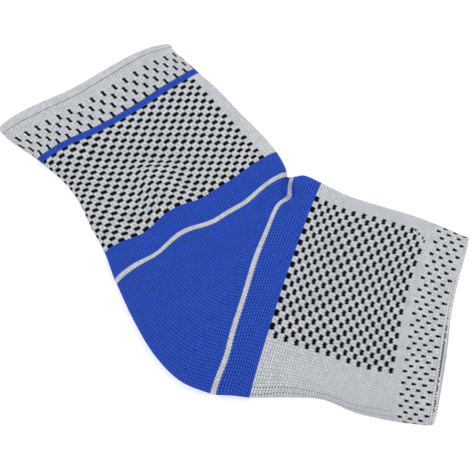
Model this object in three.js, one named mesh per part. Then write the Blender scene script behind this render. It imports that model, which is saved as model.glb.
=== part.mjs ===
// Knitted ankle brace, lying on its side and pressed nearly flat. Millimetres, +Z up, floor at Z = 0.
// The brace is one hollow tube that turns a corner at the ankle, made of twelve bands set end to end.
import * as THREE from 'three';

// Driving dimensions
const WALL = 1.8; // knit thickness
const HEM_SWELL = 0.4; // how far the doubled cuff hem stands out past the plain knit
const BAND_GAP = 0.3; // clearance between neighbouring bands
const FOLD_HEIGHT = 4.5; // height of the front and back folds above the floor
const FLAT_SHARE = 0.8; // share of the half width that lies flat on the floor
const POINTS_ROUND = 44; // points round one cross-section
const CENTRE = { x: -1.05, y: 0.2 }; // middle of the plan, taken as the origin

// Cross-sections from the leg opening to the toe opening, a row each. A section is a chord on the floor
// plan from the front fold (shin, instep, top of the foot) to the back fold (calf, heel, sole).
// crown: height of the top layer at mid chord. bow: how far the top layer sags towards the toe at mid chord.
// under: the same for the layer on the floor. corner: how far the two folds are drawn towards the toe.
const COLUMNS = ['frontX', 'frontY', 'backX', 'backY', 'crown', 'bow', 'under', 'corner'];
const SECTIONS = {
  cuff_edge: [-33.8, 103.1, -119.8, 57.5, 11, 0.5, 0, 1.2],
  hem_seam: [-32.3, 100.4, -117.4, 52.8, 11.5, 1.3, 0, 0.5],
  stripe_top: [-20.45, 88.5, -99.7, 38.9, 13, 3.8, 2, 0],
  stripe_foot: [-18.2, 86.2, -97.1, 36.6, 13.5, 4.1, 2, 0],
  leg_high: [-9, 77.5, -86.8, 27.4, 15, 5, 2, 0],
  leg_middle: [2, 65, -78.4, 16.3, 17, 4.6, 2, 0],
  leg_low: [13, 53, -71.9, 2.4, 19, 5, 2, 0],
  blue_top: [21.3, 42.3, -64.8, -11.3, 20, 3.3, 2, 0],
  upper_stripe_top: [26.2, 31.6, -59.6, -25.6, 20, 1, 1, 0],
  upper_stripe_foot: [26.3, 29.3, -58.5, -27.9, 20, 1, 1, 0],
  heel_back: [26.6, 29.1, -50.1, -46.3, 20, 1, 1, 0],
  heel_point: [27, 29.1, -39.3, -64.7, 19, 1, 1, 0],
  heel_under: [27.4, 29.1, -26.4, -77.9, 19, 1, 1, 0],
  lower_stripe_top: [27.8, 29.2, -12, -84, 19, -0.5, 1, 0],
  lower_stripe_foot: [29.9, 29.4, -9.35, -84.6, 19, -0.5, 1, 0],
  instep_rise: [35, 30, -1.5, -85, 18, -0.5, 1, 0],
  blue_foot: [43.6, 26, 7, -86, 17, -0.9, 1, 0],
  foot_back: [57.5, 19, 26, -86, 15, -1.5, 1, 0],
  foot_middle: [72.5, 14, 42.5, -87, 13.5, -1.5, 0, 0],
  foot_front: [86.7, 9.5, 58, -93.5, 12.5, -2.6, 0, 0],
  toe_band_top: [100.4, 4.2, 77, -98, 11.5, -3.9, -0.5, 0],
  toe_seam: [116, -2.7, 94.2, -100.1, 10.5, -2.9, -0.9, -0.5],
  toe_edge: [117.6, -3, 97.3, -100.3, 10, -2, -0.5, -1],
};
const CORNER_POWER = 10; // how closely the drawn-in corners keep to the folds

// Swells and dents of the top layer, each a smooth oval on the plan with its middle at x, y.
// long, short, turn: half lengths of the oval and the direction of its long axis, in degrees from +X.
// height: rise of the layer, negative for a dent. push: how far the knit is dragged towards the toe there.
// below: how many times as far the layer on the floor is dragged, where it is dragged at all.
const RELIEF = [
  { what: 'ankle bulge', x: -39, y: 17, long: 16, short: 13, turn: -30, height: 6.3, push: 0 },
  { what: 'dent above the bulge', x: -38, y: 36, long: 15, short: 5.5, turn: 8, height: -4, push: 0 },
  { what: 'dent beside the bulge', x: -21, y: 20, long: 12, short: 5, turn: -66, height: -2.5, push: 0 },
  { what: 'sag beside the instep', x: 0, y: 10, long: 20, short: 14, turn: 30, height: -3, push: 4.1 },
  { what: 'instep crease', x: 25.9, y: 22.5, long: 8, short: 2.6, turn: 80, height: -11, push: 0 },
  { what: 'knit drawn to the crease', x: 20, y: 8, long: 12, short: 9, turn: 70, height: 0, push: -1.9 },
  { what: 'instep pinch', x: 34, y: 20, long: 12, short: 5, turn: 75, height: 2.5, push: 0 },
  { what: 'heel pillow', x: -24, y: -48, long: 24, short: 18, turn: 50, height: 2.5, push: 0 },
  { what: 'cuff lifted at the shin', x: -46, y: 94, long: 18, short: 14, turn: 28, height: 5, push: 0 },
  { what: 'cuff pressed at the calf', x: -84, y: 74, long: 15, short: 10, turn: 28, height: -2.5, push: 0.2 },
  { what: 'toe drawn in', x: 108, y: -28, long: 24, short: 14, turn: 80, height: 0, push: -1, below: 3.4 },
  { what: 'sole hollow', x: 38, y: -74, long: 18, short: 9, turn: 5, height: -2, push: 0 },
  { what: 'stripe drawn up at the calf', x: -86, y: 43, long: 13, short: 10, turn: 30, height: 0, push: -1.7 },
  { what: 'knit pushed off the bulge', x: -16, y: 2, long: 9, short: 12, turn: 28, height: 0, push: 1.1 },
  { what: 'knit pushed off the heel cord', x: -44, y: -8, long: 9, short: 12, turn: 28, height: 0, push: 3 },
  { what: 'knit held beside the instep', x: -3, y: 8, long: 8, short: 10, turn: 28, height: 0, push: -1 },
  { what: 'stripe bent by the crease', x: 25.5, y: 18, long: 4.5, short: 5.5, turn: 0, height: 0, push: 4.4 },
  { what: 'stripe drawn to the heel', x: 11, y: -15, long: 20, short: 8, turn: 70, height: 0, push: -1.55 },
  { what: 'stripe pushed at the sole', x: -6, y: -69, long: 10, short: 8, turn: 70, height: 0, push: 1.5 },
  { what: 'hollow at the calf', x: -58, y: 12, long: 20, short: 13, turn: -63, height: -2, push: 2.6 },
  { what: 'knit drawn along the sole', x: 62, y: -62, long: 32, short: 13, turn: -12, height: 0, push: 0.9 },
  { what: 'fold beside the calf', x: -50.5, y: 21, long: 11, short: 4.5, turn: -70, height: -2.5, push: 0.5 },
  { what: 'checks drawn to the toe', x: 92, y: -10, long: 14, short: 10, turn: -20, height: 0, push: 1 },
  { what: 'stripe held above the heel', x: -24, y: -6, long: 10, short: 8, turn: 28, height: 0, push: -0.7 },
  { what: 'stripe drawn up at the shin', x: -36, y: 74, long: 9, short: 9, turn: 30, height: 0, push: -0.5 },
];

const LIGHT_GREY = 0xcdd0d5;
const BLUE = 0x2344b8;
const STRIPE_GREY = 0xd9dbd6;

// Bands of the tube, each between two named cross-sections. steps: rows of facets along the band.
// swell: how far the doubled hem stands out at the middle of its width.
const BANDS = [
  { name: 'cuff_hem', from: 'cuff_edge', to: 'hem_seam', steps: 3, swell: HEM_SWELL, colour: LIGHT_GREY },
  { name: 'cuff_band', from: 'hem_seam', to: 'stripe_top', steps: 5, colour: LIGHT_GREY },
  { name: 'cuff_stripe', from: 'stripe_top', to: 'stripe_foot', steps: 1, colour: BLUE },
  { name: 'leg_sleeve', from: 'stripe_foot', to: 'blue_top', steps: 12, colour: LIGHT_GREY },
  { name: 'upper_ankle_band', from: 'blue_top', to: 'upper_stripe_top', steps: 3, colour: BLUE },
  { name: 'upper_stripe', from: 'upper_stripe_top', to: 'upper_stripe_foot', steps: 1, colour: STRIPE_GREY },
  { name: 'heel_pocket', from: 'upper_stripe_foot', to: 'lower_stripe_top', steps: 11, colour: BLUE },
  { name: 'lower_stripe', from: 'lower_stripe_top', to: 'lower_stripe_foot', steps: 1, colour: STRIPE_GREY },
  { name: 'lower_ankle_band', from: 'lower_stripe_foot', to: 'blue_foot', steps: 3, colour: BLUE },
  { name: 'foot_sleeve', from: 'blue_foot', to: 'toe_band_top', steps: 9, colour: LIGHT_GREY },
  { name: 'toe_band', from: 'toe_band_top', to: 'toe_seam', steps: 3, colour: LIGHT_GREY },
  { name: 'toe_hem', from: 'toe_seam', to: 'toe_edge', steps: 3, colour: LIGHT_GREY },
];

// Distance along the tube at each cross-section: the mean of the steps along the front and back folds.
function stationsAlong(rows) {
  const stations = [0];
  for (let i = 1; i < rows.length; i += 1) {
    const [frontX, frontY, backX, backY] = rows[i].map((value, column) => value - rows[i - 1][column]);
    stations.push(stations[i - 1] + (Math.hypot(frontX, frontY) + Math.hypot(backX, backY)) / 2);
  }
  return stations;
}

const sectionNames = Object.keys(SECTIONS);
const sectionRows = Object.values(SECTIONS);
const stations = stationsAlong(sectionRows);
const smoothColumns = new THREE.CubicInterpolant(stations, sectionRows.flat(), COLUMNS.length);

// The cross-section at a distance along the tube, smooth through the table's rows.
function sectionAt(station) {
  const [frontX, frontY, backX, backY, crown, bow, under, corner] = smoothColumns.evaluate(station);
  const front = new THREE.Vector2(frontX, frontY).sub(CENTRE);
  const back = new THREE.Vector2(backX, backY).sub(CENTRE);
  return { front, back, crown, bow, under, corner };
}

// Rise and drag of the top layer, and drag of the layer on the floor, at a point of the plan.
function reliefAt(point) {
  const relief = { height: 0, push: 0, pushBelow: 0 };
  for (const oval of RELIEF) {
    const offset = point.clone().add(CENTRE).sub(oval);
    offset.rotateAround(new THREE.Vector2(), -THREE.MathUtils.degToRad(oval.turn));
    const share = Math.exp(-((offset.x / oval.long) ** 2) - (offset.y / oval.short) ** 2);
    relief.height += oval.height * share;
    relief.push += oval.push * share;
    relief.pushBelow += oval.push * (oval.below ?? 0) * share;
  }
  return relief;
}

// One closed loop round the tube: half an ellipse over the top, then the underside, flat but for its rounded
// sides. inset moves the loop inwards through the wall, and a negative inset makes it swell outwards.
function sectionLoop(section, inset) {
  const middle = section.front.clone().add(section.back).multiplyScalar(0.5);
  const across = section.front.clone().sub(section.back);
  const halfWidth = across.length() / 2 - inset;
  across.normalize();
  const towardsToe = new THREE.Vector2(across.y, -across.x);
  const floorInset = Math.max(inset, 0);
  const loop = [];
  for (let i = 0; i < POINTS_ROUND; i += 1) {
    const angle = (2 * Math.PI * i) / POINTS_ROUND;
    const side = Math.cos(angle);
    const rise = Math.sin(angle);
    const sag = (rise > 0 ? section.bow : section.under) * (1 - side * side);
    const drift = sag + section.corner * Math.abs(side) ** CORNER_POWER;
    const point = middle.clone().addScaledVector(across, side * halfWidth).addScaledVector(towardsToe, drift);
    const relief = reliefAt(point);
    let height;
    if (rise > 0) {
      point.addScaledVector(towardsToe, relief.push * rise);
      height = FOLD_HEIGHT + (section.crown - inset - FOLD_HEIGHT + relief.height) * rise;
    } else {
      point.addScaledVector(towardsToe, relief.pushBelow * -rise);
      const roundShare = Math.max(0, Math.abs(side) - FLAT_SHARE) / (1 - FLAT_SHARE);
      height = FOLD_HEIGHT - (FOLD_HEIGHT - floorInset) * Math.sqrt(1 - roundShare * roundShare);
    }
    loop.push(new THREE.Vector3(point.x, point.y, height));
  }
  return loop;
}

// The cross-section at a share (0 to 1) of a band's length, drawn in by half the band gap at each end.
function bandSection(band, share) {
  const start = stations[sectionNames.indexOf(band.from)];
  const end = stations[sectionNames.indexOf(band.to)];
  const first = sectionAt(start);
  const last = sectionAt(end);
  const section = sectionAt(THREE.MathUtils.lerp(start, end, share));
  const drawIn = (BAND_GAP / 2) * (1 - 2 * share);
  section.front.addScaledVector(last.front.clone().sub(first.front).normalize(), drawIn);
  section.back.addScaledVector(last.back.clone().sub(first.back).normalize(), drawIn);
  return section;
}

// A band is a closed wall: outer loops from end to end, then inner loops back to the start.
function bandGeometry(band) {
  const { steps, swell = 0 } = band;
  const loops = [];
  for (let step = 0; step <= steps; step += 1) {
    const share = step / steps;
    loops.push(sectionLoop(bandSection(band, share), -swell * Math.sin(Math.PI * share)));
  }
  for (let step = steps; step >= 0; step -= 1) {
    loops.push(sectionLoop(bandSection(band, step / steps), WALL));
  }
  const triangles = [];
  for (let row = 0; row < loops.length; row += 1) {
    const nextRow = (row + 1) % loops.length;
    for (let i = 0; i < POINTS_ROUND; i += 1) {
      const j = (i + 1) % POINTS_ROUND;
      const a = row * POINTS_ROUND + i;
      const b = row * POINTS_ROUND + j;
      const c = nextRow * POINTS_ROUND + j;
      const d = nextRow * POINTS_ROUND + i;
      triangles.push(a, b, c, a, c, d);
    }
  }
  const geometry = new THREE.BufferGeometry().setFromPoints(loops.flat());
  geometry.setIndex(triangles);
  geometry.computeVertexNormals();
  return geometry;
}

const brace = new THREE.Group();
for (const band of BANDS) {
  const knit = new THREE.MeshStandardMaterial({ color: band.colour, roughness: 0.9, metalness: 0 });
  const mesh = new THREE.Mesh(bandGeometry(band), knit);
  mesh.name = band.name;
  brace.add(mesh);
}

export default brace;
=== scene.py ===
"""Knitted ankle brace lying on its side: the looks of each band of its tube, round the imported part.

Every band is one closed wall of knit. Its outer face carries the stitches as relief, twelve points to a
stitch, and the chart of dark and pale stitches goes with them. The tables are in millimetres.
"""

import bpy
import numpy as np
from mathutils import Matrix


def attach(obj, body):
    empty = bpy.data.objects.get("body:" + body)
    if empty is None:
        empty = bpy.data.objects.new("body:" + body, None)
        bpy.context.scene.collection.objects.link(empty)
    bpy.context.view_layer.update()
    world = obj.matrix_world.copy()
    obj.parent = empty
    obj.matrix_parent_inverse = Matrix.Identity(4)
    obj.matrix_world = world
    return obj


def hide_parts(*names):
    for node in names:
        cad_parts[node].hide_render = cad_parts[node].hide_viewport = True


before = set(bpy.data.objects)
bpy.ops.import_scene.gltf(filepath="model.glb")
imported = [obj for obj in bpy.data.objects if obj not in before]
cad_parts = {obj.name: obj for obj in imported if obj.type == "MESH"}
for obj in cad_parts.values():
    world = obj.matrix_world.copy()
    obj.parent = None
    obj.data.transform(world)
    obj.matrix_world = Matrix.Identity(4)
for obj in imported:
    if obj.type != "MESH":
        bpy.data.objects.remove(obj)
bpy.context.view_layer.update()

# Cuff hem
# The welt round the leg opening: the knit is turned over on itself and held down by a row of chain stitches,
# so it stands a little proud. It is plain, in the pale yarn, with one faint rib for each column of stitches.
MM = 0.001
WALL = 1.8
FOLD_HEIGHT = 4.5
FLAT_SHARE = 0.8
CORNER_POWER = 10
CENTRE = np.array([-1.05, 0.2])
WALES = 132
POINTS_PER_WALE = 4
POINTS_PER_COURSE = 3
ROUND_COLUMNS = WALES * POINTS_PER_WALE
ROUND_WALES = np.arange(ROUND_COLUMNS) / POINTS_PER_WALE
BAND_GAP = 0.03

# The flattened tube from the leg opening to the toe opening. The front fold follows the shin and the instep,
# the back fold the calf, the heel and the sole. The last five columns place the stitches: the wales that lie
# on the two folds, how those between them crowd and slip, and how deep the zigzag of the courses is.
SECTION_COLUMNS = (
    "front_x", "front_y", "back_x", "back_y", "crown", "bow", "under", "corner",
    "front_wale", "back_wale", "crowd", "slip", "lean",
)
SECTIONS = {
    "cuff_edge": (-33.8, 103.1, -119.8, 57.5, 11, 0.5, 0, 1.2, -0.4, 65.9, -0.01, -0.025, 0),
    "hem_seam": (-32.3, 100.4, -117.4, 52.8, 11.5, 1.3, 0, 0.5, -0.4, 65.9, -0.01, -0.025, 0),
    "stripe_top": (-20.45, 88.5, -99.7, 38.9, 13, 3.8, 2, 0, -0.7, 63.95, -0.055, 0.055, 0.25),
    "stripe_foot": (-18.2, 86.2, -97.1, 36.6, 13.5, 4.1, 2, 0, -0.7, 61, 0, 0, 0.25),
    "leg_high": (-9, 77.5, -86.8, 27.4, 15, 5, 2, 0, -1.7, 59.4, 0, 0.01, 0.25),
    "leg_middle": (2, 65, -78.4, 16.3, 17, 4.6, 2, 0, -2.4, 60.2, 0.01, 0, 0.25),
    "leg_low": (13, 53, -71.9, 2.4, 19, 5, 2, 0, -2.9, 62.5, 0.035, 0, 0.25),
    "blue_top": (21.3, 42.3, -64.8, -11.3, 20, 3.3, 2, 0, -3, 64.6, 0.025, 0, 0.3),
    "upper_stripe_top": (26.2, 31.6, -59.6, -25.6, 20, 1, 1, 0, -3, 66, 0, 0, 0.35),
    "upper_stripe_foot": (26.3, 29.3, -58.5, -27.9, 20, 1, 1, 0, -3, 66.5, 0, 0, 0.35),
    "heel_back": (26.6, 29.1, -50.1, -46.3, 20, 1, 1, 0, -2.6, 68, 0, 0, 0.3),
    "heel_point": (27, 29.1, -39.3, -64.7, 19, 1, 1, 0, -2.2, 70, 0, 0, 0.3),
    "heel_under": (27.4, 29.1, -26.4, -77.9, 19, 1, 1, 0, -1.8, 71.5, 0.02, 0, 0.3),
    "lower_stripe_top": (27.8, 29.2, -12, -84, 19, -0.5, 1, 0, -1.5, 72.5, 0.03, 0, 0.45),
    "lower_stripe_foot": (29.9, 29.4, -9.35, -84.6, 19, -0.5, 1, 0, -1.4, 72.8, 0.03, 0, 0.45),
    "instep_rise": (35, 30, -1.5, -85, 18, -0.5, 1, 0, -1.3, 72.2, 0.07, -0.03, 0.4),
    "blue_foot": (43.6, 26, 7, -86, 17, -0.9, 1, 0, -1.6, 70.6, 0.1, -0.09, 0.55),
    "foot_back": (57.5, 19, 26, -86, 15, -1.5, 1, 0, -1.5, 71.5, 0, 0.02, 0.7),
    "foot_middle": (72.5, 14, 42.5, -87, 13.5, -1.5, 0, 0, -0.2, 70.2, 0, 0.1, 0.75),
    "foot_front": (86.7, 9.5, 58, -93.5, 12.5, -2.6, 0, 0, -0.1, 71.2, 0, 0.12, 0.8),
    "toe_band_top": (100.4, 4.2, 77, -98, 11.5, -3.9, -0.5, 0, 0.8, 71.7, 0.03, 0.115, 0.8),
    "toe_seam": (116, -2.7, 94.2, -100.1, 10.5, -2.9, -0.9, -0.5, 1.2, 70.5, 0.1, 0.075, 0.8),
    "toe_edge": (117.6, -3, 97.3, -100.3, 10, -2, -0.5, -1, 1.2, 70.5, 0.1, 0.075, 0),
}
ROWS = np.array(list(SECTIONS.values()), float)
STEPS = np.diff(ROWS, axis=0)
FOLD_STEPS = (np.hypot(STEPS[:, 0], STEPS[:, 1]) + np.hypot(STEPS[:, 2], STEPS[:, 3])) / 2
STATION_LIST = np.concatenate([[0], np.cumsum(FOLD_STEPS)])
STATION = dict(zip(SECTIONS, STATION_LIST))

# Dents and bulges of the top layer, each an oval in plan: where it is, how far it reaches, how it is turned
# in degrees, how much it lifts the knit, how far it drags the knit towards the toe, and the lower layer's
# share of that drag.
RELIEF_COLUMNS = ("x", "y", "reach", "breadth", "turn", "lift", "drag", "below")
RELIEF = {
    "ankle bulge": (-39, 17, 16, 13, -30, 6.3, 0, 0),
    "dent above the bulge": (-38, 36, 15, 5.5, 8, -4, 0, 0),
    "dent beside the bulge": (-21, 20, 12, 5, -66, -2.5, 0, 0),
    "sag beside the instep": (0, 10, 20, 14, 30, -3, 4.1, 0),
    "instep crease": (25.9, 22.5, 8, 2.6, 80, -11, 0, 0),
    "knit drawn to the crease": (20, 8, 12, 9, 70, 0, -1.9, 0),
    "instep pinch": (34, 20, 12, 5, 75, 2.5, 0, 0),
    "heel pillow": (-24, -48, 24, 18, 50, 2.5, 0, 0),
    "cuff lifted at the shin": (-46, 94, 18, 14, 28, 5, 0, 0),
    "cuff pressed at the calf": (-84, 74, 15, 10, 28, -2.5, 0.2, 0),
    "toe drawn in at the instep": (108, -28, 24, 14, 80, 0, -1, 3.4),
    "sole hollow": (38, -74, 18, 9, 5, -2, 0, 0),
    "stripe drawn up at the calf": (-86, 43, 13, 10, 30, 0, -1.7, 0),
    "knit pushed off the bulge": (-16, 2, 9, 12, 28, 0, 1.1, 0),
    "knit pushed off the heel cord": (-44, -8, 9, 12, 28, 0, 3, 0),
    "knit held beside the instep": (-3, 8, 8, 10, 28, 0, -1, 0),
    "stripe bent by the crease": (25.5, 18, 4.5, 5.5, 0, 0, 4.4, 0),
    "stripe drawn to the heel": (11, -15, 20, 8, 70, 0, -1.55, 0),
    "stripe pushed at the sole": (-6, -69, 10, 8, 70, 0, 1.5, 0),
    "hollow at the calf": (-58, 12, 20, 13, -63, -2, 2.6, 0),
    "knit drawn along the sole": (62, -62, 32, 13, -12, 0, 0.9, 0),
    "fold beside the calf": (-50.5, 21, 11, 4.5, -70, -2.5, 0.5, 0),
    "checks drawn to the toe": (92, -10, 14, 10, -20, 0, 1, 0),
    "stripe held above the heel": (-24, -6, 10, 8, 28, 0, -0.7, 0),
    "stripe drawn up at the shin": (-36, 74, 9, 9, 30, 0, -0.5, 0),
}


def along_tube(station):
    """Columns of the sections at distances along the tube: a cubic between rows, and at a row its slope is
    the mean of the slopes of the steps before and after it."""
    slopes = STEPS / FOLD_STEPS[:, None]
    tangents = np.vstack([slopes[:1], (slopes[:-1] + slopes[1:]) / 2, slopes[-1:]])
    i = np.clip(np.searchsorted(STATION_LIST, station, side="right") - 1, 0, len(STEPS) - 1)
    step = FOLD_STEPS[i][..., None]
    p = (station - STATION_LIST[i])[..., None] / step
    values = (
        ROWS[i] * (2 * p**3 - 3 * p**2 + 1)
        + ROWS[i + 1] * (3 * p**2 - 2 * p**3)
        + tangents[i] * step * (p**3 - 2 * p**2 + p)
        + tangents[i + 1] * step * (p**3 - p**2)
    )
    return dict(zip(SECTION_COLUMNS, np.moveaxis(values, -1, 0)))


def arc_angle(share, flatness=0.25):
    """Angle at a share of the length of half an ellipse, whose height is flatness times its half width."""
    angle = np.linspace(0, np.pi, 1001)
    rate = np.hypot(np.sin(angle), flatness * np.cos(angle))
    length = np.concatenate([[0], np.cumsum(rate[1:] + rate[:-1])])
    return np.interp(share, length / length[-1], angle)


def fold_share(at, wale):
    """How far a wale is over the top layer, 0 at the front fold to 1 at the back fold, and on from there to 2
    under the tube. Wales are evenly spread in each layer, but for a crowding at the middle of the top one, a
    whole sine, and a slip of that middle towards the back, half a sine."""
    over = at["back_wale"] - at["front_wale"]
    past_front = (wale - at["front_wale"]) % WALES
    top = past_front / over
    crowding = at["crowd"] * np.sin(2 * np.pi * top) / (2 * np.pi)
    slipping = at["slip"] * np.sin(np.pi * top) / np.pi
    return np.where(top <= 1, top + crowding + slipping, 1 + (past_front - over) / (WALES - over))


def tube_points(station, wale, inset=0.0):
    """Points of the tube at distances along it and at wales round it, set in from its outer face. A section
    is half an ellipse over a flat base with rounded folds, swept on the line between the folds. Bow and under
    push the middle of a layer towards the toe, corner pushes the folds, and the ovals of the relief lift the
    knit and drag it towards the toe."""
    station, wale, inset = np.broadcast_arrays(station, wale, inset)
    at = along_tube(station)
    share = fold_share(at, wale)
    angle = np.where(share <= 1, arc_angle(share), np.pi + arc_angle(share - 1))
    front = np.stack([at["front_x"], at["front_y"]], -1)
    back = np.stack([at["back_x"], at["back_y"]], -1)
    width = np.linalg.norm(front - back, axis=-1)
    across = (front - back) / width[..., None]
    towards_toe = np.stack([across[..., 1], -across[..., 0]], -1)
    side, rise = np.cos(angle), np.sin(angle)
    on_top = rise > 0
    bowed = np.where(on_top, at["bow"], at["under"]) * (1 - side**2)
    drift = bowed + at["corner"] * np.abs(side) ** CORNER_POWER
    from_middle = side * (width / 2 - inset)
    plan = (front + back) / 2 + across * from_middle[..., None] + towards_toe * drift[..., None]
    lift, drag, drag_below = relief_at(plan)
    up = np.maximum(rise, 0)
    dragged = drag * up + drag_below * np.maximum(-rise, 0)
    plan = plan + towards_toe * dragged[..., None] - CENTRE
    z_top = FOLD_HEIGHT + (at["crown"] - inset - FOLD_HEIGHT + lift) * up
    rounding = np.maximum(0, np.abs(side) - FLAT_SHARE) / (1 - FLAT_SHARE)
    z_base = FOLD_HEIGHT - (FOLD_HEIGHT - np.maximum(inset, 0)) * np.sqrt(np.maximum(0, 1 - rounding**2))
    return np.concatenate([plan, np.where(on_top, z_top, z_base)[..., None]], -1)


def relief_at(plan):
    """Lift, drag and drag of the lower layer at points in plan: the sum over the ovals of e to the minus
    square of the distance from the oval's middle, measured in its reach one way and its breadth the other."""
    lift, drag, drag_below = np.zeros((3, *plan.shape[:-1]))
    for row in RELIEF.values():
        oval = dict(zip(RELIEF_COLUMNS, row))
        turn = np.radians(oval["turn"])
        x, y = plan[..., 0] - oval["x"], plan[..., 1] - oval["y"]
        long_way = (x * np.cos(turn) + y * np.sin(turn)) / oval["reach"]
        short_way = (y * np.cos(turn) - x * np.sin(turn)) / oval["breadth"]
        weight = np.exp(-(long_way**2) - short_way**2)
        lift += oval["lift"] * weight
        drag += oval["drag"] * weight
        drag_below += oval["drag"] * oval["below"] * weight
    return lift, drag, drag_below


def tube_normals(station, wale):
    """Outward unit normals of the tube: the step round it crossed with the step along it."""
    small = 0.2
    station, wale = np.broadcast_arrays(station, wale)
    round_step = tube_points(station, wale + small) - tube_points(station, wale - small)
    along_step = tube_points(station + small, wale) - tube_points(station - small, wale)
    normal = np.cross(round_step, along_step)
    return normal / np.linalg.norm(normal, axis=-1)[..., None]


def ring_quads(rows, first=0):
    """Quads of a grid that closes round its columns, numbered from first, facing away from the tube."""
    corner = first + np.arange(rows * ROUND_COLUMNS).reshape(rows, ROUND_COLUMNS)
    right = np.roll(corner, -1, axis=1)
    return np.stack([corner[:-1], right[:-1], right[1:], corner[1:]], -1)


BAKE_MARGIN = 0.01
LAYER_FILL = 0.96


def ring_uv(course, low, high):
    """For each quad of such a grid, its corners' wale and course, and their place on the bake map: the ring
    is cut in two near its folds, and the halves lie one over the other between the heights low and high."""
    rows = len(course)
    half = ROUND_COLUMNS // 2
    column = np.arange(ROUND_COLUMNS)
    corner_column = np.stack([column, column + 1, column + 1, column], -1)
    row = np.arange(rows - 1)
    corner_row = np.stack([row, row, row + 1, row + 1], -1)
    shape = (rows - 1, ROUND_COLUMNS, 4)
    wale = np.broadcast_to(corner_column[None] / POINTS_PER_WALE, shape)
    along = np.broadcast_to(np.asarray(course, float)[corner_row][:, None], shape)
    layer = column // half
    across = (corner_column - (layer * half)[:, None]) / half
    strip = (high - low) / 2
    sideways = BAKE_MARGIN + (1 - 2 * BAKE_MARGIN) * across[None]
    upward = low + strip * (layer[None, :, None] + LAYER_FILL * (corner_row / (rows - 1))[:, None])
    bake = np.stack([np.broadcast_to(sideways, shape), np.broadcast_to(upward, shape)], -1)
    return np.stack([wale, along], -1), bake


def add_mesh(name, points, faces, end_faces, uv_maps, traits, finish):
    """Puts a worked-out wall into a mesh, in metres, with flat faces at its ends, which come last, and smooth
    ones elsewhere, and fits it in the place of the CAD node of its name."""
    mesh = bpy.data.meshes.new(name)
    mesh.vertices.add(len(points))
    mesh.vertices.foreach_set("co", (points * MM).astype(np.float32).ravel())
    mesh.loops.add(faces.size)
    mesh.loops.foreach_set("vertex_index", faces.astype(np.int32).ravel())
    mesh.polygons.add(len(faces))
    mesh.polygons.foreach_set("loop_start", np.arange(0, faces.size, faces.shape[1], dtype=np.int32))
    mesh.polygons.foreach_set("use_smooth", np.arange(len(faces)) < len(faces) - end_faces)
    for map_name, uv in uv_maps.items():
        layer = mesh.uv_layers.new(name=map_name)
        layer.data.foreach_set("uv", uv.astype(np.float32).ravel())
    for trait, values in traits.items():
        attribute = mesh.attributes.new(trait, "FLOAT", "POINT")
        attribute.data.foreach_set("value", values.astype(np.float32).ravel())
    mesh.update()
    mesh.materials.append(finish)
    band = bpy.data.objects.new(f"{name}_knit", mesh)
    bpy.context.scene.collection.objects.link(band)
    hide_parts(name)
    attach(band, "root")


OUTER_STRIP = (0.01, 0.8)
INNER_STRIP = (0.82, 0.95)
FIRST_END_STRIP = (0.96, 0.97)
LAST_END_STRIP = (0.98, 0.99)
# The inner face is darker all over, mixed this share of the way to the yarn's painted shade colour.
INNER_FACE_DARKENING = 0.3


def add_wall(name, outer, inner, outer_course, inner_course, dark, hollow, finish):
    """A closed wall from two grids that share their columns: the outer face, the inner face turned inwards,
    and a ring of quads at each end."""
    rows, inner_rows = len(outer), len(inner)
    inside = rows * ROUND_COLUMNS
    outer_faces = ring_quads(rows)
    inner_faces = ring_quads(inner_rows, inside)[..., ::-1]
    last_outer, last_inner = inside - ROUND_COLUMNS, inside + (inner_rows - 1) * ROUND_COLUMNS
    column = np.arange(ROUND_COLUMNS)
    right = (column + 1) % ROUND_COLUMNS
    end_rows = ((inside, 0), (last_outer, last_inner))
    ends = [np.stack([a + column, a + right, b + right, b + column], -1) for a, b in end_rows]
    outer_uv, outer_bake = ring_uv(outer_course, *OUTER_STRIP)
    inner_uv, inner_bake = ring_uv(inner_course, *INNER_STRIP)
    first_uv, first_bake = ring_uv([outer_course[0]] * 2, *FIRST_END_STRIP)
    last_uv, last_bake = ring_uv([outer_course[-1]] * 2, *LAST_END_STRIP)
    faces = np.concatenate([outer_faces.reshape(-1, 4), inner_faces.reshape(-1, 4), *ends])
    uv_maps = {
        "knit": [outer_uv, inner_uv[..., ::-1, :], first_uv, last_uv],
        "OFBake": [outer_bake, inner_bake[..., ::-1, :], first_bake, last_bake],
    }
    uv_maps = {key: np.concatenate([part.reshape(-1, 2) for part in parts]) for key, parts in uv_maps.items()}
    points = np.concatenate([outer.reshape(-1, 3), inner.reshape(-1, 3)])
    no_dark = np.zeros(inner_rows * ROUND_COLUMNS)
    traits = {
        "dark": np.concatenate([np.ravel(dark), no_dark]),
        "hollow": np.concatenate([np.ravel(hollow), no_dark + INNER_FACE_DARKENING]),
    }
    add_mesh(name, points, faces, 2 * ROUND_COLUMNS, uv_maps, traits, finish)


# Painted shade: each yarn is mixed towards a darker shade colour by the hollow trait, in the hollows and
# grooves of the stitches, in seams and dips, and a little over whole faces.
DARK_YARN, DARK_PAINTED_SHADE = (0.006, 0.006, 0.008), (0.001, 0.001, 0.002)
DARK_EDGE = (0.44, 0.56)
FIBRES_PER_STITCH = (7, 2.5, 1)
FIBRE_RANGE = (0.3, 0.7)
FIBRE_TONES = (0.93, 1.05)
FIBRE_ROUGHNESS = (0.78, 0.95)
FIBRE_HEIGHT = 0.12
COLOUR_MIX_INPUTS = (0, 6, 7)
COLOUR_MIX_OUTPUT = 2


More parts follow.
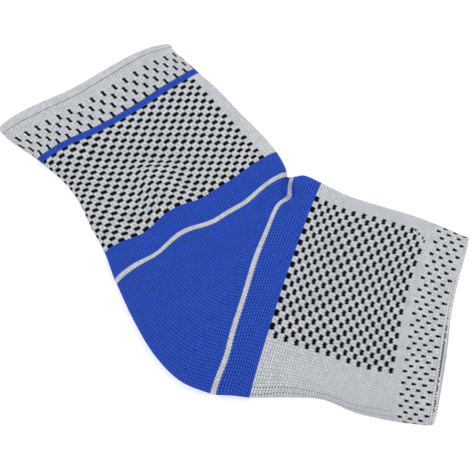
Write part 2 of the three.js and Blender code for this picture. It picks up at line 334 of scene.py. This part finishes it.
def yarn_finish(name, yarn, painted_shade, sheen, tones=(0.9, 1.06)):
    """Knitted yarn: its own colour on the crowns of the stitches and a darker painted shade colour in the
    hollows, mixed in by the hollow trait, near-black yarn where the dark trait says, which also paints the
    shade of holes and the shadow line at the toe edge, each stitch a little lighter or darker than the next,
    within the tones, and fibres as fine bump."""
    material = bpy.data.materials.new(name)
    material.use_nodes = True
    nodes, links = material.node_tree.nodes, material.node_tree.links
    shader = nodes["Principled BSDF"]
    shader.inputs["Specular IOR Level"].default_value = 0.08
    shader.inputs["Sheen Weight"].default_value = sheen
    shader.inputs["Sheen Roughness"].default_value = 0.45
    shader.inputs["Sheen Tint"].default_value = (*yarn, 1)

    def trait(trait_name):
        """The value of a trait of the mesh."""
        node = nodes.new("ShaderNodeAttribute")
        node.attribute_name = trait_name
        return node.outputs["Fac"]

    def ranged(value, given, wanted):
        """The value moved in proportion from a given range to a wanted one, and kept inside it."""
        node = nodes.new("ShaderNodeMapRange")
        links.new(value, node.inputs["Value"])
        for socket, limit in zip(("From Min", "From Max", "To Min", "To Max"), (*given, *wanted)):
            node.inputs[socket].default_value = limit
        return node.outputs["Result"]

    def mixed(factor, low, high):
        """A colour between low, where the factor is 0, and high, where it is 1."""
        node = nodes.new("ShaderNodeMix")
        node.data_type = "RGBA"
        for socket, value in zip(COLOUR_MIX_INPUTS, (factor, low, high)):
            if isinstance(value, bpy.types.NodeSocket):
                links.new(value, node.inputs[socket])
            else:
                node.inputs[socket].default_value = (*value, 1)
        return node.outputs[COLOUR_MIX_OUTPUT]

    hollow = trait("hollow")
    dark = ranged(trait("dark"), DARK_EDGE, (0, 1))
    # Painted shade: the hollow trait mixes each yarn towards its shade colour.
    knit = mixed(dark, mixed(hollow, yarn, painted_shade), mixed(hollow, DARK_YARN, DARK_PAINTED_SHADE))

    place = nodes.new("ShaderNodeUVMap")
    place.uv_map = "knit"
    cell = nodes.new("ShaderNodeVectorMath")
    cell.operation = "FLOOR"
    links.new(place.outputs["UV"], cell.inputs[0])
    chance = nodes.new("ShaderNodeTexWhiteNoise")
    chance.noise_dimensions = "2D"
    links.new(cell.outputs["Vector"], chance.inputs["Vector"])
    stitch_tone = ranged(chance.outputs["Value"], (0, 1), tones)

    drawn = nodes.new("ShaderNodeMapping")
    drawn.inputs["Scale"].default_value = FIBRES_PER_STITCH
    links.new(place.outputs["UV"], drawn.inputs["Vector"])
    fibre = nodes.new("ShaderNodeTexNoise")
    fibre.inputs["Scale"].default_value = 1.6
    fibre.inputs["Detail"].default_value = 3
    links.new(drawn.outputs["Vector"], fibre.inputs["Vector"])
    fibre_tone = ranged(fibre.outputs["Fac"], FIBRE_RANGE, FIBRE_TONES)

    toned = nodes.new("ShaderNodeHueSaturation")
    tone = nodes.new("ShaderNodeMath")
    tone.operation = "MULTIPLY"
    links.new(stitch_tone, tone.inputs[0])
    links.new(fibre_tone, tone.inputs[1])
    links.new(tone.outputs[0], toned.inputs["Value"])
    links.new(knit, toned.inputs["Color"])
    links.new(toned.outputs["Color"], shader.inputs["Base Color"])
    roughness = ranged(fibre.outputs["Fac"], FIBRE_RANGE, FIBRE_ROUGHNESS)
    links.new(roughness, shader.inputs["Roughness"])
    bump = nodes.new("ShaderNodeBump")
    bump.inputs["Strength"].default_value = 0.5
    bump.inputs["Distance"].default_value = FIBRE_HEIGHT * MM
    links.new(fibre.outputs["Fac"], bump.inputs["Height"])
    links.new(bump.outputs["Normal"], shader.inputs["Normal"])
    return material


# The pale yarn, and the painted shade of its hollows.
PALE_YARN, PALE_PAINTED_SHADE = (0.89, 0.915, 0.96), (0.13, 0.135, 0.15)
pale_knit = yarn_finish("pale knit", PALE_YARN, PALE_PAINTED_SHADE, sheen=0.03, tones=(0.88, 1.08))
EDGE_RADIUS = 0.8


def rounded_edge(away):
    """Inset of a quarter circle that rounds a free edge over, at distances from the edge."""
    away = np.clip(away, 0, EDGE_RADIUS)
    return EDGE_RADIUS - np.sqrt(EDGE_RADIUS**2 - (EDGE_RADIUS - away) ** 2)


HEM_COURSES = 4
HEM_SWELL = 0.4
# The hem is darker all over by a share of the painted shade colour. Painted shade deepens in each rib's
# groove and in the seam's dip, most at each wale's chain stitch.
HEM_DARKENING = 0.3
RIB_DEPTH = 0.05
RIB_HOLLOW = 0.1
SEAM_WIDTH = 0.8
SEAM_DEPTH = 0.4
SEAM_HOLLOW = 0.2
CHAIN_HOLLOW = 0.5
ROW_CROWDING = 1.3


def add_hem(name, edge, seam, rows=13, inner_rows=5):
    """A welt from its free edge to its seam: the face swells as half a sine between them, rounds over at the
    edge, dips at the seam as a parabola with a chain stitch on each wale, and has a faint rib on each wale.
    Its rows of points crowd a little towards the edge. The hollow trait darkens the whole hem a little and
    paints shade in the ribs' grooves and in the seam's dip."""
    length = STATION[seam] - STATION[edge] - BAND_GAP
    way = np.linspace(0, 1, rows)[:, None] ** ROW_CROWDING
    seam_share = np.clip(1 - (1 - way) * length / SEAM_WIDTH, 0, 1) ** 2
    groove = 1 - np.abs(np.sin(np.pi * ROUND_WALES))
    swelling = np.sin(np.pi * way)
    rib = groove * swelling
    inset = rounded_edge(way * length) - HEM_SWELL * swelling + SEAM_DEPTH * seam_share + RIB_DEPTH * rib
    outer = tube_points(STATION[edge] + way * length, ROUND_WALES, inset)
    inner_way = np.linspace(0, 1, inner_rows)[:, None]
    inner_inset = WALL - rounded_edge(inner_way * length)
    inner = tube_points(STATION[edge] + inner_way * length, ROUND_WALES, inner_inset)
    hollow = HEM_DARKENING + RIB_HOLLOW * rib + (SEAM_HOLLOW + CHAIN_HOLLOW * groove) * seam_share
    outer_course, inner_course = way[:, 0] * HEM_COURSES, inner_way[:, 0] * HEM_COURSES
    dark = np.zeros(hollow.shape)
    add_wall(name, outer, inner, outer_course, inner_course, dark, hollow, pale_knit)


add_hem("cuff_hem", "cuff_edge", "hem_seam")

# Cuff band
# The top of the leg, in pale yarn with every second stitch tucked, and with four rows of short dark dashes.
# Each dash is one stitch wide and three high, with a hook at each end where the yarn goes to the back, and
# every second row is shifted by half the step between dashes.
STITCH_DEPTH = 0.36
DARK_SINK = 0.06
# Marks in the dark yarn, both dark loops and painted shade, sink by this share of the stitch depth and take
# as much painted shade again.
LOOP_AND_SHADE_HOLLOW = 0.4
PALE_GROOVES = (0.18, 0.3, 0.75)


def zigzag(station, wale):
    """How far a course leans towards the toe: a zigzag round the tube as deep as the sections' lean, lowest
    between wales and highest on them."""
    lean = np.interp(station, STATION_LIST, ROWS[:, SECTION_COLUMNS.index("lean")])
    return lean * (0.5 - np.abs(2 * (wale % 1) - 1))


WALE_EMPHASIS = 0.2


def stitch_hollow(wale, course, grooves, tucked=0.0):
    """Depth of the knit under its highest loops, as a share of the stitch depth: grooves between wales and
    fainter ones between the legs of each wale's stitches, grooves between courses, and pits where the two
    cross, each as deep as grooves says. Every second stitch may be tucked and lie lower, like a chequer. The
    same share mixes the yarn towards its painted shade colour, so grooves, pits and tucked stitches are
    painted darker as well as set lower."""
    beside_legs, between_courses, pits = grooves
    emphasis = 1 - WALE_EMPHASIS + WALE_EMPHASIS * np.cos(2 * np.pi * wale)
    legs = emphasis * (1 - np.abs(np.sin(2 * np.pi * wale)))
    gaps = 1 - np.sin(np.pi * (course % 1))
    tuck = tucked * (0.5 + 0.5 * np.sin(np.pi * wale) * np.sin(np.pi * course))
    return beside_legs * legs + between_courses * gaps + pits * legs * gaps + tuck


CLIMB_ALONG = 1.5
CLIMB_ACROSS = 2


def chart_to_points(chart, narrow, short, taper=0.0):
    """Dark share at the points of a chart of courses by wales. It climbs from the ends of each dark run of a
    wale and is a half at the distance short from them, in courses. It climbs from the sides of a wale as
    well, but not from a side with dark stitches next to it, and is a half at the distance narrow from them,
    in wales, which grows by the taper over each course."""
    place = np.arange(len(chart) * POINTS_PER_COURSE + 1)[:, None] / POINTS_PER_COURSE
    course = np.arange(len(chart))
    away = np.maximum(np.maximum(course - place, place - course - 1), 0)[..., None]
    from_pale = np.where(chart, np.inf, away).min(axis=1)
    from_dark = np.where(chart, away, np.inf).min(axis=1)
    run = np.clip(0.5 + CLIMB_ALONG * (from_pale - from_dark - short), 0, 1)
    column = np.arange(ROUND_COLUMNS)
    wale, point = column // POINTS_PER_WALE, column % POINTS_PER_WALE
    beside = run[:, (wale + np.where(2 * point < POINTS_PER_WALE, -1, 1)) % WALES]
    here = np.where(point == 0, np.maximum(run[:, wale], beside), run[:, wale])
    least = np.minimum(run[:, wale], beside)
    inside = np.minimum(point, POINTS_PER_WALE - point) / POINTS_PER_WALE
    from_side = inside - narrow - taper * (place % 1)
    return least + np.clip(0.5 + CLIMB_ACROSS * from_side, 0, 1) * (here - least)


def add_band(
    name, start, end, chart, finish, grooves=PALE_GROOVES, dash=(0.0, 0.33), dark_loops_and_painted_shade=0.0, trim=(0, 0),
    inner_step=2, free_end=False, tucked=0.0,
):
    """A knitted band between two sections: courses evenly spaced along the tube and leaning by the zigzag,
    with the stitches' relief and any dark loops and painted shade marks set in along the normals, and the end
    rows level with their neighbours. The marks are drawn in the dark yarn and take painted shade. Dash says
    how narrow, short and tapered the chart's dark runs are. Trim drops rows of points at the ends and spreads
    the rest over the whole band, and a free end rounds over to the inside."""
    rows = slice(trim[0], len(chart) * POINTS_PER_COURSE + 1 - trim[1])
    course = (np.arange(len(chart) * POINTS_PER_COURSE + 1) / POINTS_PER_COURSE)[rows]
    low, high = STATION[start] + BAND_GAP / 2, STATION[end] - BAND_GAP / 2
    straight = (low + (high - low) * (course - course[0]) / (course[-1] - course[0]))[:, None]
    station = straight + zigzag(straight, ROUND_WALES)
    hollow = stitch_hollow(ROUND_WALES, course[:, None], grooves, tucked) + LOOP_AND_SHADE_HOLLOW * dark_loops_and_painted_shade
    dark = np.maximum(chart_to_points(chart, *dash)[rows], dark_loops_and_painted_shade)
    depth = STITCH_DEPTH * hollow + DARK_SINK * dark
    depth[[0, -1]] = depth[[1, -2]]
    rounding = rounded_edge(high - straight) if free_end else np.zeros(straight.shape)
    sunk = tube_normals(station, ROUND_WALES) * depth[..., None]
    outer = tube_points(station, ROUND_WALES, rounding) - sunk
    last_row = len(course) - 1
    inner_rows = np.unique(np.append(np.arange(0, last_row, POINTS_PER_COURSE * inner_step), last_row))
    inner = tube_points(station[inner_rows], ROUND_WALES, WALL - rounding[inner_rows])
    add_wall(name, outer, inner, course, course[inner_rows], dark, hollow, finish)


def plain_chart(courses):
    """A chart of that many courses with no dark stitch."""
    return np.zeros((courses, WALES), bool)


def plain_points(courses):
    """Zeros for the rows and columns of points of that many courses."""
    return np.zeros((courses * POINTS_PER_COURSE + 1, ROUND_COLUMNS))


CUFF_COURSES = 20
CUFF_GROOVES = (0.15, 0.1, 0.6)
CUFF_DASH_TOPS = (5, 9, 13, 17)
CUFF_DASH_HEIGHT = 3
DASH_STEP = 4
HOOK_STEP = DASH_STEP * POINTS_PER_WALE
HOOK_ROWS = 2
cuff_chart = plain_chart(CUFF_COURSES)
cuff_hooks = plain_points(CUFF_COURSES)
for row, first_course in enumerate(CUFF_DASH_TOPS):
    first_wale = DASH_STEP // 2 if row % 2 == 0 else 0
    last_course = first_course + CUFF_DASH_HEIGHT
    cuff_chart[first_course:last_course, first_wale::DASH_STEP] = True
    top, bottom = first_course * POINTS_PER_COURSE, last_course * POINTS_PER_COURSE
    near_side, far_side = first_wale * POINTS_PER_WALE, (first_wale + 1) * POINTS_PER_WALE
    cuff_hooks[top:top + HOOK_ROWS, far_side::HOOK_STEP] = 1
    cuff_hooks[bottom + 1 - HOOK_ROWS:bottom + 1, near_side::HOOK_STEP] = 1
add_band(
    "cuff_band", "hem_seam", "stripe_top", cuff_chart, pale_knit, CUFF_GROOVES,
    dash=(0.08, -0.2), dark_loops_and_painted_shade=cuff_hooks, tucked=0.28,
)

# Cuff stripe
# A narrow ring of blue courses, knitted in between the cuff and the leg.
# The blue yarn, and the painted shade of its hollows.
BLUE_YARN, BLUE_PAINTED_SHADE = (0.055, 0.166, 0.99), (0.001, 0.002, 0.02)
BLUE_GROOVES = (0.42, 0.52, 0.7)
CUFF_STRIPE_COURSES = 3
blue_knit = yarn_finish("blue knit", BLUE_YARN, BLUE_PAINTED_SHADE, sheen=0.1)
add_band(
    "cuff_stripe", "stripe_top", "stripe_foot", plain_chart(CUFF_STRIPE_COURSES), blue_knit,
    BLUE_GROOVES,
)

# Leg sleeve
# The long part over the shin and calf: pale knit with dark checks of two stitches by two courses, set like a
# chequerboard with pale gaps. A plain strip is left along the shin, and the calf is checked all round.
LEG_COURSES = 48
CHECK = 2
SHIN_WALES = 4


def check_chart(courses, wale):
    """A chart of checks over that many courses at given wales: dark and pale squares by turns, both ways."""
    square = np.arange(courses)[:, None] // CHECK
    return (wale[None] + CHECK * (square + 1)) % (2 * CHECK) < CHECK


wale_number = np.arange(WALES)
leg_chart = check_chart(LEG_COURSES, wale_number)
leg_chart &= (wale_number >= SHIN_WALES) & (wale_number < WALES - SHIN_WALES)
add_band(
    "leg_sleeve", "stripe_foot", "blue_top", leg_chart, pale_knit,
    dash=(0.0, 0.27), trim=(2, 1),
)

# Upper ankle band
# Blue courses above the heel, knitted straight on from the leg.
UPPER_BLUE_COURSES = 11
add_band(
    "upper_ankle_band", "blue_top", "upper_stripe_top", plain_chart(UPPER_BLUE_COURSES), blue_knit,
    BLUE_GROOVES,
)

# Upper stripe
# Two pale courses round the ankle, where the turned heel begins.
# The stripe yarn, and the painted shade of its hollows.
STRIPE_YARN, STRIPE_PAINTED_SHADE = (0.68, 0.7, 0.73), (0.22, 0.23, 0.25)
STRIPE_GROOVES = (0.1, 0.0, 0.4)
STRIPE_COURSES = 2
stripe_knit = yarn_finish("stripe knit", STRIPE_YARN, STRIPE_PAINTED_SHADE, sheen=0.03, tones=(0.86, 1.1))
add_band(
    "upper_stripe", "upper_stripe_top", "upper_stripe_foot", plain_chart(STRIPE_COURSES), stripe_knit,
    STRIPE_GROOVES,
)

# Heel pocket
# The turned heel: short courses run beside each stripe, longest round the back of the heel, and the two sets
# meet on a slanting line from the instep to the underside of the heel, which gives the tube its bend.
HEEL_COURSES = (54, 14)
HEEL_FRONT_COURSES = 1
HEEL_GROOVES = (0.6, 0.5, 0.3)
# The meeting line is set in by half the stitch depth and takes half the painted shade. The heel's inner face
# is darker all over, mixed a share of the way to the painted shade colour.
MEETING_HOLLOW = 0.5
JOINING_REACH = 0.3
HEEL_INNER_DARKENING = 0.5
HEEL_INNER_COURSES = 40
HEEL_STRIPS = ((0.01, 0.4), (0.41, 0.8))


def heel_courses(wale, most):
    """Courses from a stripe to the slanting line at each wale: few at the front fold, most at the back fold,
    and growing evenly in between, over the top layer and under it."""
    at = along_tube(np.full(wale.shape, STATION["heel_point"]))
    share = fold_share(at, wale)
    return HEEL_FRONT_COURSES + (most - HEEL_FRONT_COURSES) * (1 - np.abs(1 - share))


def add_heel(name, start, meeting, end, inner_rows=19):
    """Both halves of the heel in one wall. Along a wale the courses of a half are evenly spaced from its
    stripe to the meeting line, and the grid's points past that line or just before it are drawn together into
    the line's own point."""
    column = np.arange(ROUND_COLUMNS)
    beside = (column + 1) % ROUND_COLUMNS
    line_at = STATION[meeting]
    line_station = np.full((1, ROUND_COLUMNS), line_at)
    sunk = tube_normals(line_station, ROUND_WALES) * STITCH_DEPTH * MEETING_HOLLOW
    grids = [tube_points(line_station, ROUND_WALES) - sunk]
    hollows = [np.full((1, ROUND_COLUMNS), MEETING_HOLLOW)]
    firsts, faces, knit_uv, bake_uv = [], [], [], []
    outward, inward = [0, 1, 2, 0, 2, 3], [2, 1, 0, 3, 2, 0]

    def add_faces(quads, maps, order):
        """Splits quads in two, in an order that faces the right way, and keeps their places on both maps."""
        faces.append(quads.reshape(-1, 4)[:, order].reshape(-1, 3))
        for kept, uv in zip((knit_uv, bake_uv), maps):
            kept.append(uv.reshape(-1, 4, 2)[:, order].reshape(-1, 3, 2))

    for half, (stripe, heading) in enumerate(((start, 1), (end, -1))):
        course = np.arange(HEEL_COURSES[half] * POINTS_PER_COURSE + 1)[:, None] / POINTS_PER_COURSE
        count = heel_courses(ROUND_WALES, HEEL_COURSES[half])
        edge = STATION[stripe] + heading * BAND_GAP / 2
        way = np.minimum(course / count, 1)
        straight = edge + (line_at - edge) * way
        station = straight + (1 - way) * zigzag(straight, ROUND_WALES)
        hollow = stitch_hollow(ROUND_WALES, course, HEEL_GROOVES)
        sunk = tube_normals(station, ROUND_WALES) * (STITCH_DEPTH * hollow)[..., None]
        first = sum(len(grid) for grid in grids) * ROUND_COLUMNS
        firsts.append(first)
        grids.append(tube_points(station, ROUND_WALES) - sunk)
        hollows.append(hollow)
        number = first + np.arange(course.size * ROUND_COLUMNS).reshape(-1, ROUND_COLUMNS)
        number = np.where(course < count - JOINING_REACH, number, column)
        right = np.roll(number, -1, axis=1)
        quads = np.stack([number[:-1], right[:-1], right[1:], number[1:]], -1)
        maps = ring_uv(course[:, 0], *HEEL_STRIPS[half])
        add_faces(quads, maps, outward if heading > 0 else inward)

    inside = sum(len(grid) for grid in grids) * ROUND_COLUMNS
    inner_share = np.linspace(0, 1, inner_rows)
    inner_station = STATION[start] + (STATION[end] - STATION[start]) * inner_share[:, None]
    grids.append(tube_points(inner_station, ROUND_WALES, WALL))
    hollows.append(np.full((inner_rows, ROUND_COLUMNS), HEEL_INNER_DARKENING))
    inner_maps = ring_uv(inner_share * HEEL_INNER_COURSES, *INNER_STRIP)
    add_faces(ring_quads(inner_rows, inside), inner_maps, inward)
    last = inside + (inner_rows - 1) * ROUND_COLUMNS
    rings = ((inside, firsts[0], FIRST_END_STRIP), (firsts[1], last, LAST_END_STRIP))
    for a, b, strip in rings:
        quads = np.stack([a + column, a + beside, b + beside, b + column], -1)
        add_faces(quads, ring_uv([0, 0], *strip), outward)

    faces = np.concatenate(faces)
    whole = (faces[:, 0] != faces[:, 1]) & (faces[:, 1] != faces[:, 2]) & (faces[:, 2] != faces[:, 0])
    used, faces_used = np.unique(faces[whole], return_inverse=True)
    points = np.concatenate([grid.reshape(-1, 3) for grid in grids])[used]
    hollow = np.concatenate([grid.ravel() for grid in hollows])[used]
    uv_maps = {"knit": np.concatenate(knit_uv)[whole], "OFBake": np.concatenate(bake_uv)[whole]}
    traits = {"dark": np.zeros(len(used)), "hollow": hollow}
    faces = faces_used.reshape(-1, 3)
    add_mesh(name, points, faces, 4 * ROUND_COLUMNS, uv_maps, traits, blue_knit)


add_heel("heel_pocket", "upper_stripe_foot", "heel_under", "lower_stripe_top")

# Lower stripe
# Two more pale courses, where the turned heel ends.
add_band(
    "lower_stripe", "lower_stripe_top", "lower_stripe_foot", plain_chart(STRIPE_COURSES), stripe_knit,
    STRIPE_GROOVES,
)

# Lower ankle band
# Blue courses over the instep and under the arch, up to the foot.
LOWER_BLUE_COURSES = 12
add_band(
    "lower_ankle_band", "lower_stripe_foot", "blue_foot", plain_chart(LOWER_BLUE_COURSES), blue_knit,
    BLUE_GROOVES,
)

# Foot sleeve
# The part round the foot: pale knit with a panel of the same dark checks on each side, broken into dots at
# one corner. The instep and the sole are plain, and two lines of small holes run beside the sole, painted
# near-black as painted shade in the holes.
FOOT_COURSES = 50
PANEL_COURSES = 48
PANEL_WALES = (6, 54)
CORNER_PALE = ((44, 6), (45, 6), (45, 7), (46, 9), (47, 8))
CORNER_DOTS = ((42, 6), (44, 7), (46, 8), (47, 9))
LADDER_WALES = (67, 69)
FOOT_GROOVES = (0.2, 0.32, 0.8)
HOLE_COLUMNS = 2
side_wale = np.minimum(wale_number, WALES - 1 - wale_number)
foot_chart = check_chart(FOOT_COURSES, side_wale)
foot_chart &= (side_wale >= PANEL_WALES[0]) & (side_wale < PANEL_WALES[1])
foot_chart &= np.arange(FOOT_COURSES)[:, None] < PANEL_COURSES
for course, wale in CORNER_PALE:
    foot_chart[course, side_wale == wale] = False
foot_holes = plain_points(FOOT_COURSES)
side_point = np.repeat(side_wale, POINTS_PER_WALE)
inside_wale = np.arange(ROUND_COLUMNS) % POINTS_PER_WALE > 0
for course, wale in CORNER_DOTS:
    first_row = course * POINTS_PER_COURSE
    foot_holes[first_row + 1:first_row + POINTS_PER_COURSE, (side_point == wale) & inside_wale] = 1
# Painted shade: the holes beside the sole are painted in the dark yarn.
for ladder in LADDER_WALES:
    first_column = ladder * POINTS_PER_WALE
    foot_holes[::POINTS_PER_COURSE, first_column:first_column + HOLE_COLUMNS] = 1
add_band(
    "foot_sleeve", "blue_foot", "toe_band_top", foot_chart, pale_knit, FOOT_GROOVES,
    dash=(0.0, 0.28), dark_loops_and_painted_shade=foot_holes, inner_step=5,
)

# Toe band
# The end of the foot, with six rows of dark dashes all round, one stitch wide and two courses high. Every
# second row is shifted by half the step between dashes.
TOE_COURSES = 14
TOE_DASH_ROWS = 6
TOE_DASH_HEIGHT = 2
toe_chart = plain_chart(TOE_COURSES)
for row in range(TOE_DASH_ROWS):
    first_course = 1 + row * TOE_DASH_HEIGHT
    first_wale = 0 if row % 2 == 0 else DASH_STEP // 2
    toe_chart[first_course:first_course + TOE_DASH_HEIGHT, first_wale::DASH_STEP] = True
add_band(
    "toe_band", "toe_band_top", "toe_seam", toe_chart, pale_knit,
    dash=(0.0, 0.12, 0.2), trim=(0, POINTS_PER_COURSE),
)

# Toe hem
# The last courses round the toe opening, cast off flat, so that the knit rounds over to the inside. Close
# to the edge beside the sole a thin line is painted in the dark yarn, broken into single loops: painted
# shadow of the gap between the top layer's edge and the lower layer below it.
TOE_HEM_COURSES = 2
EDGE_SHADOW_WALES = (30, 67)
EDGE_SHADOW_ROWS = slice(-4, -2)
SHADOW_LINE_SHOWN = 0.2
SHADOW_LINE_TONE = 0.49
SHADOW_LOOP_TONE = 0.6
SHADOW_LOOP_SEED = 5
# Painted shadow of the gap at the toe edge: a thin line in the dark yarn, with single darker loops.
edge_gap_shadow = plain_points(TOE_HEM_COURSES)
beside_sole = (wale_number > EDGE_SHADOW_WALES[0]) & (wale_number < EDGE_SHADOW_WALES[1])
shown = np.sin(np.pi * (wale_number - EDGE_SHADOW_WALES[0]) / (EDGE_SHADOW_WALES[1] - EDGE_SHADOW_WALES[0]))
shadow_loop = beside_sole & (shown > np.random.default_rng(SHADOW_LOOP_SEED).random(WALES))
edge_gap_shadow[EDGE_SHADOW_ROWS, np.repeat(beside_sole & (shown > SHADOW_LINE_SHOWN), POINTS_PER_WALE)] = SHADOW_LINE_TONE
for point in (1, 2):
    edge_gap_shadow[EDGE_SHADOW_ROWS, point::POINTS_PER_WALE] = SHADOW_LOOP_TONE * shadow_loop
add_band(
    "toe_hem", "toe_seam", "toe_edge", plain_chart(TOE_HEM_COURSES), pale_knit,
    dark_loops_and_painted_shade=edge_gap_shadow, inner_step=1, free_end=True,
)

# Floor, light and camera
# A plain near-white floor under a white surround, a wide soft light from above and a weaker one from the
# left. Places here are in metres.
FLOOR_REACH = 3.0
FLOOR_DROP = 0.0001
floor_mesh = bpy.data.meshes.new("floor")
corners = np.array([[-1, -1], [1, -1], [1, 1], [-1, 1]]) * FLOOR_REACH
floor_mesh.from_pydata([(x, y, -FLOOR_DROP) for x, y in corners], [], [(0, 1, 2, 3)])
floor_finish = bpy.data.materials.new("pale floor")
floor_finish.use_nodes = True
floor_shader = floor_finish.node_tree.nodes["Principled BSDF"]
floor_shader.inputs["Base Color"].default_value = (0.75, 0.75, 0.75, 1)
floor_shader.inputs["Roughness"].default_value = 0.9
floor_shader.inputs["Specular IOR Level"].default_value = 0.1
floor_shader.inputs["Emission Color"].default_value = (1, 1, 1, 1)
floor_shader.inputs["Emission Strength"].default_value = 0.55
floor_mesh.materials.append(floor_finish)
floor = bpy.data.objects.new("floor", floor_mesh)
bpy.context.scene.collection.objects.link(floor)

surround = bpy.data.worlds.new("surround")
surround.use_nodes = True
background = surround.node_tree.nodes["Background"]
background.inputs["Color"].default_value = (1, 1, 1, 1)
background.inputs["Strength"].default_value = 0.63
bpy.context.scene.world = surround


def aim_angles(direction):
    """Turn about X, then about Z, that points a lamp's or camera's own -Z along a direction."""
    x, y, z = direction
    return (np.arctan2(np.hypot(x, y), -z), 0, np.arctan2(-x, y))


def add_light(name, place, size, power):
    """A square soft light of that width and power in watts at a place, facing the middle of the object."""
    lamp = bpy.data.lights.new(name, "AREA")
    lamp.size = size
    lamp.energy = power
    light = bpy.data.objects.new(name, lamp)
    light.location = place
    light.rotation_euler = aim_angles(-np.array(place))
    bpy.context.scene.collection.objects.link(light)


add_light("overhead light", place=(0.5, 0.55, 1.35), size=1.2, power=6.2)
add_light("left light", place=(-0.9, -0.3, 0.9), size=0.8, power=2.0)

CAMERA_ELEVATION = np.radians(70)
CAMERA_DISTANCE = 1.306
CAMERA_AIM = np.array([0.00105, -0.0002, 0.0])
camera_data = bpy.data.cameras.new("camera")
camera_data.lens = 200
camera_data.sensor_width = 36
camera = bpy.data.objects.new("camera", camera_data)
to_camera = np.array([0, -np.cos(CAMERA_ELEVATION), np.sin(CAMERA_ELEVATION)])
camera.location = CAMERA_AIM + CAMERA_DISTANCE * to_camera
camera.rotation_euler = aim_angles(-to_camera)
bpy.context.scene.collection.objects.link(camera)
bpy.context.scene.camera = camera
bpy.context.scene.view_settings.view_transform = "Standard"

bpy.context.view_layer.update()
